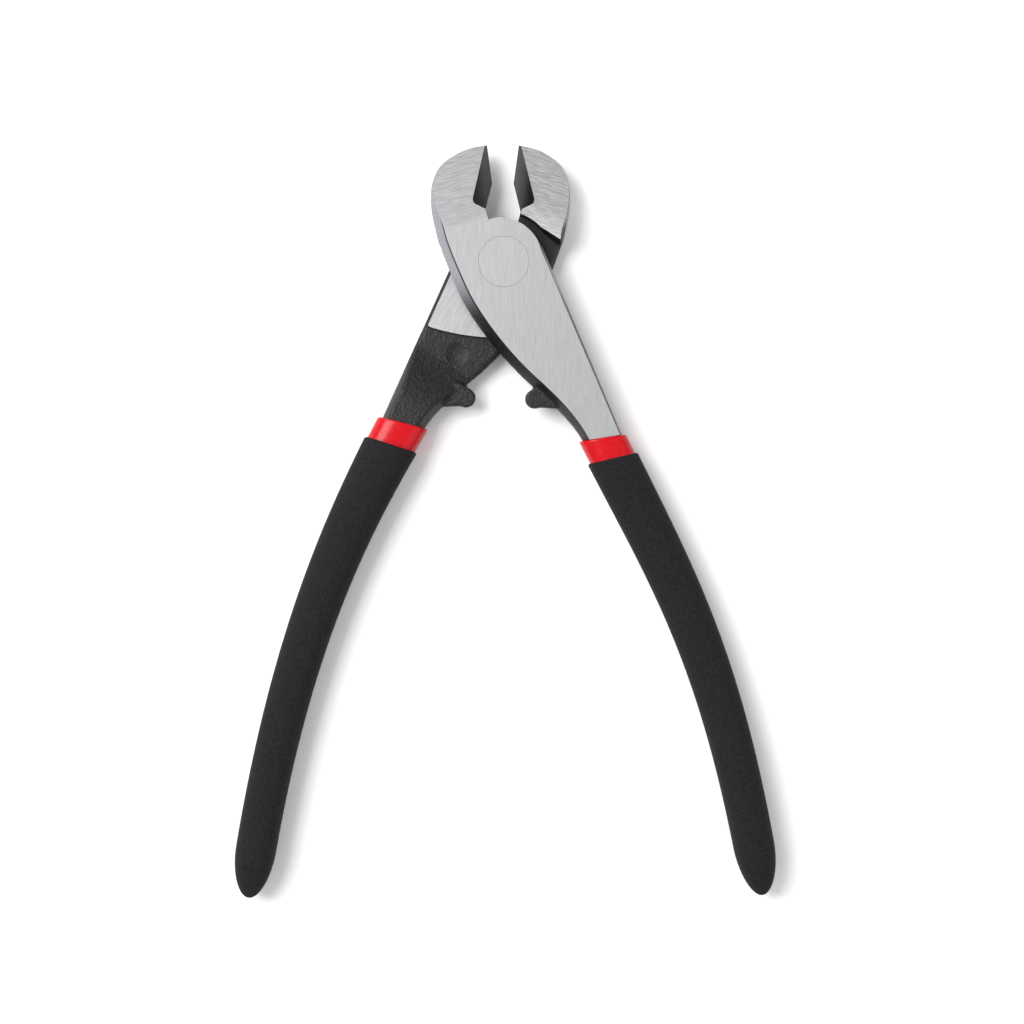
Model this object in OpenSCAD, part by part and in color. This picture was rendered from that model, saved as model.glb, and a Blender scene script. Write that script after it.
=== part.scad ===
// Heavy-duty side cutting pliers with a lap joint, lying open on their rear side.
// The pivot is at the origin, the jaws point along +Y and the rear lever's ground face is at z = 0.
// Each lever is drawn closed, with its jaw to the left, its ground face up and the lap joint at z = 0.

/* [Head] */
// Thickness through both levers at the joint
head_t = 10.5; // [9.5:0.25:12]
// Distance from the pivot to the jaw tips
jaw_reach = 31; // [28:0.1:33]
// Width of the front lever's jaw, from the cutting edge to its back
front_jaw_w = 16.6; // [15:0.1:18]
// Width of the rear lever's jaw
rear_jaw_w = 15.4; // [15:0.1:18]
// Length of each straight cutting edge
edge_len = 10.1; // [8:0.1:11]
// Angle between a cutting bevel and the middle plane of the jaws
bevel_angle = 36; // [32:1:40]
// Thickness of a jaw at its tip
tip_t = 0.9; // [0.7:0.1:1.6]
// Angle between the levers as they lie
rest_open = 15.2; // [13:0.2:18]

/* [Joint] */
// Radius of the round lap round the pivot
joint_r = 11.5; // [11:0.1:12]
// Radius of the shoulder under each jaw, which the other lever turns in
shoulder_r = 13.1; // [12.7:0.1:13.6]
// Diameter of the rivet's shank
rivet_d = 9.6; // [8:0.1:10.5]
// Diameter of the rivet's two flush heads
rivet_head_d = 13; // [12:0.1:13.6]
// Thickness of each rivet head
rivet_head_t = 1.6; // [1.2:0.1:2]

/* [Shanks] */
// Distance from the pivot to the front lever's red collar
front_neck_reach = 52.3; // [50:0.1:56]
// Distance from the pivot to the rear lever's red collar
rear_neck_reach = 49.4; // [48:0.1:54]
// Angle of the front shank from straight down, with the jaws closed
front_neck_angle = 22.1; // [20:0.1:24]
// Angle of the rear shank
rear_neck_angle = 24.3; // [22:0.1:26]
// Width of the front shank at its collar
front_neck_w = 9.9; // [9:0.1:11.5]
// Width of the rear shank at its collar
rear_neck_w = 11; // [9:0.1:11.5]
// Distance of the front shank's outer edge from the pivot
front_outer_r = 11.1; // [10.8:0.1:12.5]
// Distance of the rear shank's outer edge from the pivot
rear_outer_r = 12.1; // [10.8:0.1:12.5]
// How far a shank is thicker than half the head at its collar
neck_swell = 4; // [3:0.1:4.5]
// Distance from the pivot along the shank to the stop lug
lug_reach = 34.8; // [33:0.1:36]
// Distance of the lug's round end from the shank's centre line
lug_out = 10.4; // [9.5:0.1:11]
// Radius of the lug's round end
lug_r = 2.5; // [2:0.1:3]
// Thickness of the lug
lug_t = 5.4; // [4:0.1:6]

/* [Handles] */
// Distance down from the pivot to the end of the front grip, closed
front_end_down = 172.8; // [160:0.1:185]
// Distance out from the middle to the end of the front grip, closed
front_end_out = 45.5; // [40:0.1:50]
// How much higher the rear grip ends than the front one
rear_end_rise = 0.4; // [0:0.1:3]
// Distance out to the end of the rear grip
rear_end_out = 43.6; // [40:0.1:50]
// Visible length of each red collar
collar_len = 6; // [4:0.1:9]
// Width of the front grip at its upper end
front_grip_w = 13.1; // [12.8:0.1:15]
// Width of the rear grip at its upper end
rear_grip_w = 14.3; // [13.4:0.1:15.5]
// Width of both grips before their rounded ends
grip_end_w = 10.4; // [9.8:0.1:12]
// Thickness of both grips
grip_t = 12.6; // [12.4:0.1:14]
// Wall of the red sleeve over the steel tang
sleeve_wall = 1.3; // [0.8:0.05:1.4]

/* [Hidden] */
$fn = 96;

// Clearances: between the lap faces, round the rivet, between the dipped layers, between the edges
lap_gap = 0.1;
running_gap = 0.05;
layer_gap = 0.05;
edge_gap = 0.06;
overrun = 40;

half_t = head_t / 2;
lap_z = lap_gap / 2;
colour_steel = [0.72, 0.72, 0.73];
colour_red = [0.8, 0.05, 0.08];
colour_black = [0.07, 0.07, 0.075];

// Draft of the forged walls: how far the ground face is set in behind the widest outline, and the
// share of it under the jaw
jaw_draft = 2;
under_share = 0.55;
inner_draft = 2.1;
neck_draft = 1.5;
outer_draft = 1.1;
disc_draft = 0.3;
// Rounding of the lap side's edges, and the step from the ground pad to the forged surface
lap_edge = 0.9;
pad_step = 0.35;
// Lower edge of the ground pad: how far it lies from the pivot, and the radius of its bow
pad_reach = 19.7;
pad_bow_r = 60;
pad_bow_out = 6.5;

// Back outline of jaw and waist as shares of jaw width, reach and draft, from the tip to the shank
back_shares = [[0.22, 0.993, 0.8], [0.44, 0.967, 0.8], [0.76, 0.877, 0.8], [0.94, 0.73, 0.9], [1, 0.52, 1],
               [0.975, 0.322, 1.1], [0.948, 0.205, 1.15], [0.866, 0.015, 1.2]];
// Place in that list of the point where the shoulder under the jaw ends
shoulder_row = 6;
// Where the shoulder's round recess runs out into its straight wall
shoulder_turn = [-8.2, 10.2];
// Flat of the front lap on the shank's side: its depth, the direction of its middle, and half its angle
lap_flat = 0.85;
flat_angle = 18;
flat_spread = 70;
// Foot of the gap between the jaws, and where the jaw's inner side meets the round lap
crotch = [-2.9, 14];
crotch_foot = -2.5;
// How far the jaw's lower half reaches into the upper half, and how far inside its walls
root_t = 2;
root_in = 0.05;
// Angle of the line from which the jaw faces fall away to the tip
hinge_angle = 10;
// Left side and corner radius of the bevel's pocket, and the angle of its lower wall
pocket_w = 5.75;
pocket_r = 1.3;
pocket_angle = 34;
pocket_lift = 0.1;

// Slanted side of the lug: how far it spreads along the shank, how far down from the lug's end, and
// where the lug is rooted in the shank
lug_foot = 5;
lug_slope = 3.75;
lug_root = 4.5;

// Inner edge of a shank: share of its length, share of the way from neck to lap, and wall draft share
inner_edge_shares = [[0.065, 1.41, 1.25], [0.23, 1.35, 1.25], [0.394, 1.14, 1.2], [0.533, 0.86, 1.15],
                     [0.648, 0.54, 1.05], [0.774, 0.23, 0.95], [0.9, 0.03, 0.8], [1, 0, 0.7], [1.08, 0, 0.7]];
// Where the shank's lap side leaves the lap plane and where it has its full thickness, along the shank
swell_start = 26;
swell_end = 45;
// Share of the thickness at which a shank's wall has a quarter of its draft
swell_waist = 0.4;
waist_draft = 0.25;
curve_steps = 4;
arc_step = 8;

// Handle curves: heading at the collar and at the end, and the length of each pull on the curve
front_heading = [18.9, 1.7];
rear_heading = [21.9, 0.6];
front_pull_shares = [0.311, 0.511];
rear_pull_shares = [0.247, 0.483];
front_grip_power = 1;
rear_grip_power = 1.6;
// Angle of each dip line across the handle: the collar's upper edge, then the grip's
front_dip_angle = [1.4, 4.8];
rear_dip_angle = [8, 10.2];

// Steel tang inside the handle: how far its sides lie in from the shank's, its half thickness at the
// collar, and its half width and half thickness at its end
tang_in = 0.35;
tang_half_t = 4.1;
tang_end = [3.1, 3.2];
tang_lift = 0.5;
// How far the tang is rooted in the shank before the collar, and how rounded its section is
tang_root = 5;
tang_power = 2.6;
grip_power = 2.5;
tang_end_share = 0.9;
// Rounded end of the grip: its length, and how full it is
grip_cap = 11;
grip_fullness = 0.6;
sleeve_cap = 4;
lever_sides = 16;
grip_sides = 20;
lever_rings = 14;
grip_rings = 18;
// Rings on the tang's rounded end and on the grip's, as shares of that end, and how full the tang's is
tang_cap_rings = [0.4, 0.75, 1];
grip_cap_rings = [0.3, 0.55, 0.75, 0.9, 0.98];
tang_fullness = 0.7;
// Share of the handle over which the tang comes back to the middle of its thickness
lift_share = 0.25;
// Least size of a triangle cut off an outline
sliver = 0.1;

function unit(v) = v / norm(v);
function mix(a, b, t) = a + (b - a) * t;
function smooth(t) = let (s = max(0, min(1, t))) s * s * (3 - 2 * s);
function pick(list, i) = list[max(0, min(len(list) - 1, i))];

// Smooth curve through points of any number of coordinates
function curve(pts) = [
    for (i = [0:len(pts) - 2]) for (k = [0:curve_steps - 1])
        let (a = pick(pts, i - 1), b = pts[i], c = pts[i + 1], d = pick(pts, i + 2), t = k / curve_steps)
        b + (c - a) * t / 2 + (2 * a - 5 * b + 4 * c - d) * t * t / 2
        + (3 * b - a - 3 * c + d) * t * t * t / 2,
    pts[len(pts) - 1]
];

// Outline of [x, y, draft] rows, counterclockwise, set in by its draft times a scale plus a fixed amount
function inset(rows, scale, fixed) = [
    for (i = [0:len(rows) - 1])
        let (n = len(rows), p = rows[i], before = rows[(i + n - 1) % n], after = rows[(i + 1) % n],
             into = unit([p.x - before.x, p.y - before.y]), out = unit([after.x - p.x, after.y - p.y]),
             along = unit(into + out), side = [-along.y, along.x])
        [p.x, p.y] + side * (p.z * scale + fixed)
];
function at_z(outline, z) = [for (p = outline) [p.x, p.y, z]];

// Triangles that fill a counterclockwise outline: corners with nothing inside them are cut off in turn
function turn(a, b, c) = (b.x - a.x) * (c.y - a.y) - (b.y - a.y) * (c.x - a.x);
function is_ear(pts, a, b, c, left) = turn(pts[a], pts[b], pts[c]) > sliver && len([
    for (k = left) if (k != a && k != b && k != c && turn(pts[a], pts[b], pts[k]) >= 0
                       && turn(pts[b], pts[c], pts[k]) >= 0 && turn(pts[c], pts[a], pts[k]) >= 0) k
]) == 0;
function next_ear(pts, left, i = 0) = let (n = len(left))
    i > n - 2 || is_ear(pts, left[i], left[(i + 1) % n], left[(i + 2) % n], left)
        ? (i + 1) % n : next_ear(pts, left, i + 1);
function fill(pts, left) = len(left) == 3 ? [left] : let (i = next_ear(pts, left), n = len(left))
    concat([[left[(i + n - 1) % n], left[i], left[(i + 1) % n]]],
           fill(pts, [for (k = [0:n - 1]) if (k != i) left[k]]));

// Solid through rings of points, each ring counterclockwise as seen from the last one.
// Level outlines may be of any shape, and slanted ones are round.
module skin(rings, level = true) {
    n = len(rings[0]);
    last = (len(rings) - 1) * n;
    around = [for (k = [0:n - 1]) k];
    fan = [for (k = [1:n - 2]) [0, k, k + 1]];
    first_cap = level ? fill(rings[0], around) : fan;
    last_cap = level ? fill(rings[len(rings) - 1], around) : fan;
    polyhedron(
        points = [for (ring = rings) each ring],
        faces = concat(
            first_cap,
            [for (f = last_cap) [last + f[0], last + f[2], last + f[1]]],
            [for (i = [0:len(rings) - 2]) for (k = [0:n - 1])
                let (a = i * n + k, b = i * n + (k + 1) % n)
                each [[a, a + n, b + n], [a, b + n, b]]]
        )
    );
}

// Everything on the handle's side of a line across the handle
module below_line(point, angle)
    translate([point.x, point.y, 0]) rotate([0, 0, angle])
        translate([-overrun, -5 * overrun, -overrun]) cube([2 * overrun, 5 * overrun, 2 * overrun]);

// Jaw

function back_rows(jaw_w) = [for (s = back_shares) [-s.x * jaw_w, s.y * jaw_reach, s.z * jaw_draft]];
tip = [-edge_gap / 2, jaw_reach, 0];
edge_foot = [-edge_gap / 2, jaw_reach - edge_len, 0];

// The face of a jaw falls away from a line through the crotch towards the tip
module jaw_taper() {
    fall = half_t - tip_t / 2;
    run = (jaw_reach - crotch.y) * cos(hinge_angle) + crotch.x * sin(hinge_angle);
    translate([crotch.x, crotch.y, half_t]) rotate([0, 0, hinge_angle]) rotate([-atan(fall / run), 0, 0])
        translate([-overrun, -overrun, 0]) cube([2 * overrun, 2 * overrun, overrun]);
}

// Pocket ground into the jaw for one cutting bevel: its lower wall meets the gap a little past the crotch
module bevel_pocket() {
    foot = crotch + [0, pocket_lift];
    corner = [-pocket_w + pocket_r, foot.y + (pocket_w - pocket_r + foot.x) * tan(pocket_angle)
              + pocket_r / cos(pocket_angle)];
    intersection() {
        translate([0, 0, -overrun]) linear_extrude(2 * overrun) polygon(concat(
            [foot + pocket_r * [cos(pocket_angle), -sin(pocket_angle)], [overrun, foot.y],
             [overrun, jaw_reach + overrun], [-pocket_w, jaw_reach + overrun]],
            [for (a = [180:arc_step:270 - pocket_angle]) corner + pocket_r * [cos(a), sin(a)]]
        ));
        translate([-edge_gap / 2, 0, 0]) rotate([0, bevel_angle, 0])
            translate([-overrun, -overrun, 0]) cube([2 * overrun, 4 * overrun, overrun]);
    }
}

// The half of the jaw past the lap plane, with the round shoulder that the other lever turns in
module lower_jaw(jaw_w) {
    corner = back_rows(jaw_w)[shoulder_row];
    rows = concat(
        [tip],
        [for (p = curve(back_rows(jaw_w))) if (p.y > corner.y + jaw_draft) p],
        [corner, [shoulder_turn.x, shoulder_turn.y, 0], [crotch_foot, shoulder_turn.y, 0],
         [crotch.x, crotch.y, 0], edge_foot]
    );
    difference() {
        skin([at_z(inset(rows, under_share, 0), -half_t), at_z(inset(rows, 0, 0), 0),
              at_z(inset(rows, 0, root_in), lap_z + lap_edge), at_z(inset(rows, 1, root_in), root_t)]);
        cylinder(r = shoulder_r, h = 2 * overrun, center = true);
    }
}

// Lap and shank

function neck_point(reach, angle) = reach * [sin(angle), -cos(angle)];
// Point at a distance along a shank and off its centre line, positive to the inside
function shank_point(angle, along, off) =
    along * [sin(angle), -cos(angle)] + off * [-cos(angle), -sin(angle)];
// The shank's outer edge runs straight from the collar past the round lap, outer_r from the pivot
function outer_lean(reach, w, outer_r) = asin(outer_r / norm([reach, w / 2])) - atan(w / 2 / reach);
function outer_off(reach, w, outer_r, along) = let (lean = outer_lean(reach, w, outer_r))
    (along * sin(lean) - outer_r) / cos(lean);
// Radius of the round lap in a direction: a flat of some depth fades out to both sides of its middle
function lap_r(a, flat) = let (turned = (a - flat_angle) * 90 / flat_spread)
    joint_r - flat * pow(cos(max(-90, min(90, turned))), 2);
function inner_edge(reach, w) = [
    for (s = inner_edge_shares) [s.x * reach, mix(w / 2, joint_r, s.y), s.z * inner_draft]
];

function upper_rows(jaw_w, reach, angle, w, outer_r, flat) =
    let (inner = inner_edge(reach, w),
         last = pick(inner, len(inner)).x,
         end = shank_point(angle, last, outer_off(reach, w, outer_r, last)),
         touch = angle - outer_lean(reach, w, outer_r))
    concat(
        [tip],
        curve(concat(
            back_rows(jaw_w),
            [for (row = inner) let (p = shank_point(angle, row.x, row.y)) [p.x, p.y, row.z]]
        )),
        [[end.x, end.y, outer_draft], [outer_r * cos(touch), outer_r * sin(touch), outer_draft]],
        [for (a = [touch + arc_step:arc_step:acos(crotch_foot / joint_r)])
            [lap_r(a, flat) * cos(a), lap_r(a, flat) * sin(a), disc_draft]],
        [[crotch_foot, sqrt(joint_r * joint_r - crotch_foot * crotch_foot), 0], [crotch.x, crotch.y, 0],
         edge_foot]
    );

// The half on the ground face's side: jaw, round lap and shank in one outline
module upper_half(jaw_w, reach, angle, w, outer_r, flat) {
    rows = upper_rows(jaw_w, reach, angle, w, outer_r, flat);
    difference() {
        skin([at_z(inset(rows, 0, lap_edge), lap_z), at_z(inset(rows, 0, 0), lap_z + lap_edge),
              at_z(inset(rows, 1, 0), half_t)]);
        translate([0, 0, lap_z - overrun]) linear_extrude(overrun + pad_step) difference() {
            translate([-overrun, -3 * overrun]) square([3 * overrun, 3 * overrun - pad_reach / 2]);
            translate([pad_bow_out, pad_bow_r - pad_reach]) circle(r = pad_bow_r, $fn = 240);
        }
    }
}

// The shank thickens past the other lever's sweep, with rounded edges on its lap side
module shank_swell(reach, angle, w, outer_r) {
    rings = [
        for (row = curve(inner_edge(reach, w))) if (row.x > swell_start)
            let (t = smooth((row.x - swell_start) / (swell_end - swell_start)),
                 depth = mix(layer_gap - lap_edge, neck_swell, t), fill = max(0, depth) / neck_swell,
                 waist = mix(lap_edge, -depth, swell_waist),
                 into = [row.y - layer_gap, outer_off(reach, w, outer_r, row.x) + layer_gap],
                 draft = [fill * mix(inner_draft, neck_draft, t), fill * outer_draft],
                 top = 2 * lap_edge + pad_step)
            [for (p = [[top, into[1] + lap_edge / 2], [top, into[0] - lap_edge / 2],
                       [lap_edge, into[0]], [waist, into[0] - draft[0] * waist_draft],
                       [-depth, into[0] - draft[0] - lap_edge / 2],
                       [-depth, into[1] + draft[1] + lap_edge / 2],
                       [waist, into[1] + draft[1] * waist_draft], [lap_edge, into[1]]])
                let (q = shank_point(angle, row.x, p.y)) [q.x, q.y, p.x]]
    ];
    skin(rings, false);
}

// Stop lug on the inner edge of a shank
module lug(angle) {
    translate([0, 0, -lug_t / 2]) linear_extrude(lug_t) {
        translate(shank_point(angle, lug_reach, lug_out)) circle(r = lug_r);
        polygon([for (p = [[-lug_r, lug_out], [-lug_r, lug_root], [lug_foot, lug_root],
                           [lug_foot, lug_out - lug_slope], [lug_r, lug_out]])
            shank_point(angle, lug_reach + p.x, p.y)]);
    }
}

// Handle

function handle_points(neck, end, heading, pull_shares) =
    let (span = norm(end - neck))
    [neck, neck + pull_shares[0] * span * [sin(heading[0]), -cos(heading[0])],
     end - pull_shares[1] * span * [sin(heading[1]), -cos(heading[1])], end];
function on_handle(pts, t) = t < 0
    ? pts[0] + (pts[1] - pts[0]) * 3 * t
    : pow(1 - t, 3) * pts[0] + 3 * pow(1 - t, 2) * t * pts[1] + 3 * (1 - t) * t * t * pts[2]
      + pow(t, 3) * pts[3];
function heading_at(pts, t) = let (u = max(0, t)) unit(
    pow(1 - u, 2) * (pts[1] - pts[0]) + 2 * (1 - u) * u * (pts[2] - pts[1]) + pow(u, 2) * (pts[3] - pts[2]));

function signed_power(v, p) = sign(v) * pow(abs(v), p);
// Rounded section across the handle at t, with half width a, half thickness b and its middle at lift
function ring(pts, t, a, b, lift, power, sides) =
    let (c = on_handle(pts, t), h = heading_at(pts, t))
    [for (k = [0:sides - 1])
        let (w = 360 * (k + 0.5) / sides, off = a * signed_power(sin(w), 2 / power))
        [c.x + off * h.y, c.y - off * h.x, lift + b * signed_power(cos(w), 2 / power)]];

// Size of the tang at t, and of what is dipped on it with a given wall
function tang_size(t, wall, w) = let (s = max(0, t) / tang_end_share)
    [mix(w / 2 - tang_in, tang_end.x, s) + wall, mix(tang_half_t, tang_end.y, s) + wall,
     mix(tang_lift, 0, smooth(s / lift_share))];
// Layer on the tang: it closes round the end of what it covers, cap long
module tang_layer(pts, w, wall, cap) {
    span = norm(pts[3] - pts[0]);
    last = tang_end_share + wall / span;
    start = -tang_root / span;
    skin(concat(
        [for (i = [0:lever_rings]) let (t = mix(start, last - cap / span, i / lever_rings),
                                        size = tang_size(t, wall, w))
            ring(pts, t, size[0], size[1], size[2], tang_power, lever_sides)],
        [for (u = tang_cap_rings) let (t = last - cap * (1 - u) / span, size = tang_size(t, wall, w),
                                       s = sqrt(1 - tang_fullness * u * u))
            ring(pts, t, size[0] * s, size[1] * s, size[2], tang_power, lever_sides)]
    ), false);
}

module grip_body(pts, top_w, power) {
    span = norm(pts[3] - pts[0]);
    cap = grip_cap / span;
    function half_w(t) = mix(grip_end_w, top_w, pow(max(0, 1 - t), power)) / 2;
    skin(concat(
        [for (i = [0:grip_rings]) let (t = mix(0, 1 - cap, i / grip_rings))
            ring(pts, t, half_w(t), grip_t / 2, 0, grip_power, grip_sides)],
        [for (u = grip_cap_rings) let (t = 1 - cap * (1 - u), s = pow(1 - u * u, grip_fullness))
            ring(pts, t, half_w(t) * s, grip_t / 2 * s, 0, grip_power, grip_sides)]
    ), false);
}

// The four kinds of piece, in the closed position

module forging(jaw_w, reach, angle, w, outer_r, flat, pts, dip_angle, bore_gap) {
    difference() {
        union() {
            difference() {
                union() {
                    upper_half(jaw_w, reach, angle, w, outer_r, flat);
                    lower_jaw(jaw_w);
                    shank_swell(reach, angle, w, outer_r);
                    lug(angle);
                }
                below_line(pts[0] + layer_gap * [0, 1], dip_angle[0]);
            }
            tang_layer(pts, w, 0, sleeve_cap);
        }
        for (side = [0, 1]) mirror([0, 0, side]) {
            jaw_taper();
            bevel_pocket();
        }
        translate([0, 0, -overrun]) cylinder(d = rivet_d + 2 * bore_gap, h = 2 * overrun);
        translate([0, 0, half_t - rivet_head_t - bore_gap])
            cylinder(d = rivet_head_d + 2 * bore_gap, h = overrun);
    }
}

module sleeve(pts, w, dip_angle) intersection() {
    difference() {
        tang_layer(pts, w, sleeve_wall, sleeve_cap);
        tang_layer(pts, w, layer_gap, sleeve_cap);
    }
    below_line(pts[0], dip_angle[0]);
}

module grip(pts, w, dip_angle, top_w, power) {
    start = pts[0] + collar_len * unit(pts[1] - pts[0]);
    intersection() {
        difference() {
            grip_body(pts, top_w, power);
            tang_layer(pts, w, sleeve_wall + layer_gap, sleeve_cap);
        }
        below_line(start, dip_angle[1]);
    }
}

// The levers' places: each turns half the rest opening, and the rear one is turned over

module front_side() translate([0, 0, half_t]) rotate([0, 0, rest_open / 2]) children();
module rear_side() translate([0, 0, half_t]) rotate([0, 180, 0]) rotate([0, 0, rest_open / 2]) children();

front_pts = handle_points(neck_point(front_neck_reach, front_neck_angle), [front_end_out, -front_end_down],
                          front_heading, front_pull_shares);
rear_pts = handle_points(neck_point(rear_neck_reach, rear_neck_angle),
                         [rear_end_out, rear_end_rise - front_end_down], rear_heading, rear_pull_shares);

module front_lever() color(colour_steel) front_side()
    forging(front_jaw_w, front_neck_reach, front_neck_angle, front_neck_w, front_outer_r, lap_flat,
            front_pts, front_dip_angle, running_gap);

module rear_lever() color(colour_steel) rear_side()
    forging(rear_jaw_w, rear_neck_reach, rear_neck_angle, rear_neck_w, rear_outer_r, 0, rear_pts,
            rear_dip_angle, 0);

// Rivet with a flush head at each end, tight in the rear lever and free in the front one
module pivot_rivet() color(colour_steel) {
    cylinder(d = rivet_d, h = head_t);
    cylinder(d = rivet_head_d, h = rivet_head_t);
    translate([0, 0, head_t - rivet_head_t]) cylinder(d = rivet_head_d, h = rivet_head_t);
}

module front_sleeve() color(colour_red) front_side() sleeve(front_pts, front_neck_w, front_dip_angle);
module rear_sleeve() color(colour_red) rear_side() sleeve(rear_pts, rear_neck_w, rear_dip_angle);

module front_grip() color(colour_black) front_side()
    grip(front_pts, front_neck_w, front_dip_angle, front_grip_w, front_grip_power);
module rear_grip() color(colour_black) rear_side()
    grip(rear_pts, rear_neck_w, rear_dip_angle, rear_grip_w, rear_grip_power);

front_lever();
rear_lever();
pivot_rivet();
front_sleeve();
rear_sleeve();
front_grip();
rear_grip();
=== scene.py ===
import math

import bpy
import numpy as np
from mathutils import Matrix, Vector


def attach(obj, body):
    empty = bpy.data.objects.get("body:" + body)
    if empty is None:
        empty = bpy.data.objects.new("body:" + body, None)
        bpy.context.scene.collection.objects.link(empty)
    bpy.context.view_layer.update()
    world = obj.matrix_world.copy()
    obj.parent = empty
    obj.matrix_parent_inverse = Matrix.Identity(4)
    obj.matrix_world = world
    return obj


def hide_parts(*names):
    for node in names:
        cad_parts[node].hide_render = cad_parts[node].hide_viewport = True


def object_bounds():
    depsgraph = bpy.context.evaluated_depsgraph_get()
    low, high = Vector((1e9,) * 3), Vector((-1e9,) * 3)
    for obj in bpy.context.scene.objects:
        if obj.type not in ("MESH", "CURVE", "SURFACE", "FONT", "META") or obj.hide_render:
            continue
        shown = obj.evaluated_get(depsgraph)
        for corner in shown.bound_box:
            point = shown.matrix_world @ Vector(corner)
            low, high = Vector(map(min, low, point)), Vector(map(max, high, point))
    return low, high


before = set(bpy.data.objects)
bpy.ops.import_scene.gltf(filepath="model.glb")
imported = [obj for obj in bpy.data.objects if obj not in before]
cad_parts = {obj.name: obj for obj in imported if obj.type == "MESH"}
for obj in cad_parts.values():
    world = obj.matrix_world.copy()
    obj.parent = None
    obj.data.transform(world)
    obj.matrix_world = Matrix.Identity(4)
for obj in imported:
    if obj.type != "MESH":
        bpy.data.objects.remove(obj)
cad_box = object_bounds()
scene = bpy.context.scene

# Table and studio: a white sheet that the pliers lie on, seen from nearly straight above by a long lens.
# One large soft light stands at the upper left, and white surroundings fill in from the other sides.
camera = bpy.data.objects.new("camera", bpy.data.cameras.new("camera"))
scene.collection.objects.link(camera)
camera.data.sensor_width = 36
camera.data.lens = 94.0
camera.data.clip_start, camera.data.clip_end = 0.01, 20
aim = Vector((0.00236, -0.06468, 0.0055))
camera.location = (-0.02806, aim.y, 0.700)
look = (aim - camera.location).normalized()
across = look.cross(Vector((0, 1, 0))).normalized()
camera.rotation_euler = Matrix((across, across.cross(look), -look)).transposed().to_euler()
scene.camera = camera
scene.view_settings.view_transform = "Standard"


def softbox(name, place, size, watts):
    """A square soft light that faces the middle of the pliers."""
    lamp = bpy.data.lights.new(name, "AREA")
    lamp.shape, lamp.size, lamp.energy = "SQUARE", size, watts
    holder = bpy.data.objects.new(name, lamp)
    scene.collection.objects.link(holder)
    holder.location = place
    holder.rotation_euler = (Vector((0, -0.06, 0)) - holder.location).to_track_quat("-Z", "Y").to_euler()


softbox("key_softbox", (-0.72, 0.29, 1.0), 0.8, 18)
softbox("fill_softbox", (0.75, -0.35, 0.7), 0.8, 1.5)

world = bpy.data.worlds.new("studio")
scene.world = world
world.use_nodes = True
surround = world.node_tree.nodes["Background"]
surround.inputs["Color"].default_value = (1, 1, 1, 1)
surround.inputs["Strength"].default_value = 0.62

sheet_mat = bpy.data.materials.new("white_sheet")
sheet_mat.use_nodes = True
sheet_nodes, sheet_links = sheet_mat.node_tree.nodes, sheet_mat.node_tree.links
sheet_bsdf = sheet_nodes["Principled BSDF"]
sheet_bsdf.inputs["Roughness"].default_value = 0.9
sheet_bsdf.inputs["Specular IOR Level"].default_value = 0.0
sheet_path = sheet_nodes.new("ShaderNodeLightPath")
sheet_seen = sheet_nodes.new("ShaderNodeMix")
sheet_seen.data_type = "RGBA"
sheet_seen.inputs[6].default_value = (0.8, 0.8, 0.8, 1)
sheet_seen.inputs[7].default_value = (1.0, 1.0, 1.0, 1)
sheet_links.new(sheet_path.outputs["Is Camera Ray"], sheet_seen.inputs[0])
sheet_links.new(sheet_seen.outputs[2], sheet_bsdf.inputs["Base Color"])
sheet_mesh = bpy.data.meshes.new("table_sheet")
sheet_z = cad_box[0].z - 0.0001
sheet_corners = [(-1.6, -1.6), (1.6, -1.6), (1.6, 1.6), (-1.6, 1.6)]
sheet_mesh.from_pydata([(x, y, sheet_z) for x, y in sheet_corners], [], [(0, 1, 2, 3)])
sheet_mesh.materials.append(sheet_mat)
sheet = bpy.data.objects.new("table_sheet", sheet_mesh)
scene.collection.objects.link(sheet)


# Front lever: a chrome vanadium steel drop forging with the left jaw, half of the round lap and a shank.
# It is made here as in the works: a rounded forging with a draft first, and then its faces are ground.
# Sizes are in millimetres with the jaws closed and the jaw to the left, as the CAD source draws it.
half_t = 5.25  # half the thickness of the joint, which both jaws take up in full
grind_stock = 0.8  # forged on each side, and ground off again
lap_z, lap_edge, pad_step = 0.05, 0.9, 0.35  # a lap's ground face, its edge's rounding, and the rim's height
joint_r, shoulder_r = 11.5, 13.1  # the round lap, and the recess under the jaw that the other lap turns in
jaw_reach, edge_len, edge_gap = 31.0, 10.1, 0.03  # tip to pivot, cutting edge, half the gap when closed
half_open = 7.6  # degrees that each lever is turned from closed
clear, through = 9, 20  # how far a grinding or boring tool reaches past the forging
crotch, shoulder_turn = (-2.9, 14.0), (-8.2, 10.2)  # the foot of the jaw's inner side, and of its outer side
# How far the forging leans in from the middle plane to its face, place by place
jaw_draft, inner_draft, neck_draft, outer_draft, disc_draft, under_share = 2.0, 2.1, 1.5, 1.1, 0.3, 0.55
swell_from, swell_run, swell_deep = 26.0, 19.0, 4.0  # where the shank swells, over what length, and how far
lug_along, lug_off, lug_r, lug_low, lug_high = 34.8, 10.4, 2.5, -1.0, 2.7  # the stop lug and its two sides
bore_r, head_r, head_deep = 4.85, 6.55, 1.65  # the rivet's bore and its counterbore
tang_end, tang_inset, tang_lift = 0.9, 0.35, 0.5  # a share of the handle's curve, and mm at the neck
tang_w_end, tang_t_start, tang_t_end, tang_square = 3.1, 4.1, 3.2, 2.6  # half sizes, and how square it is
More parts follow.
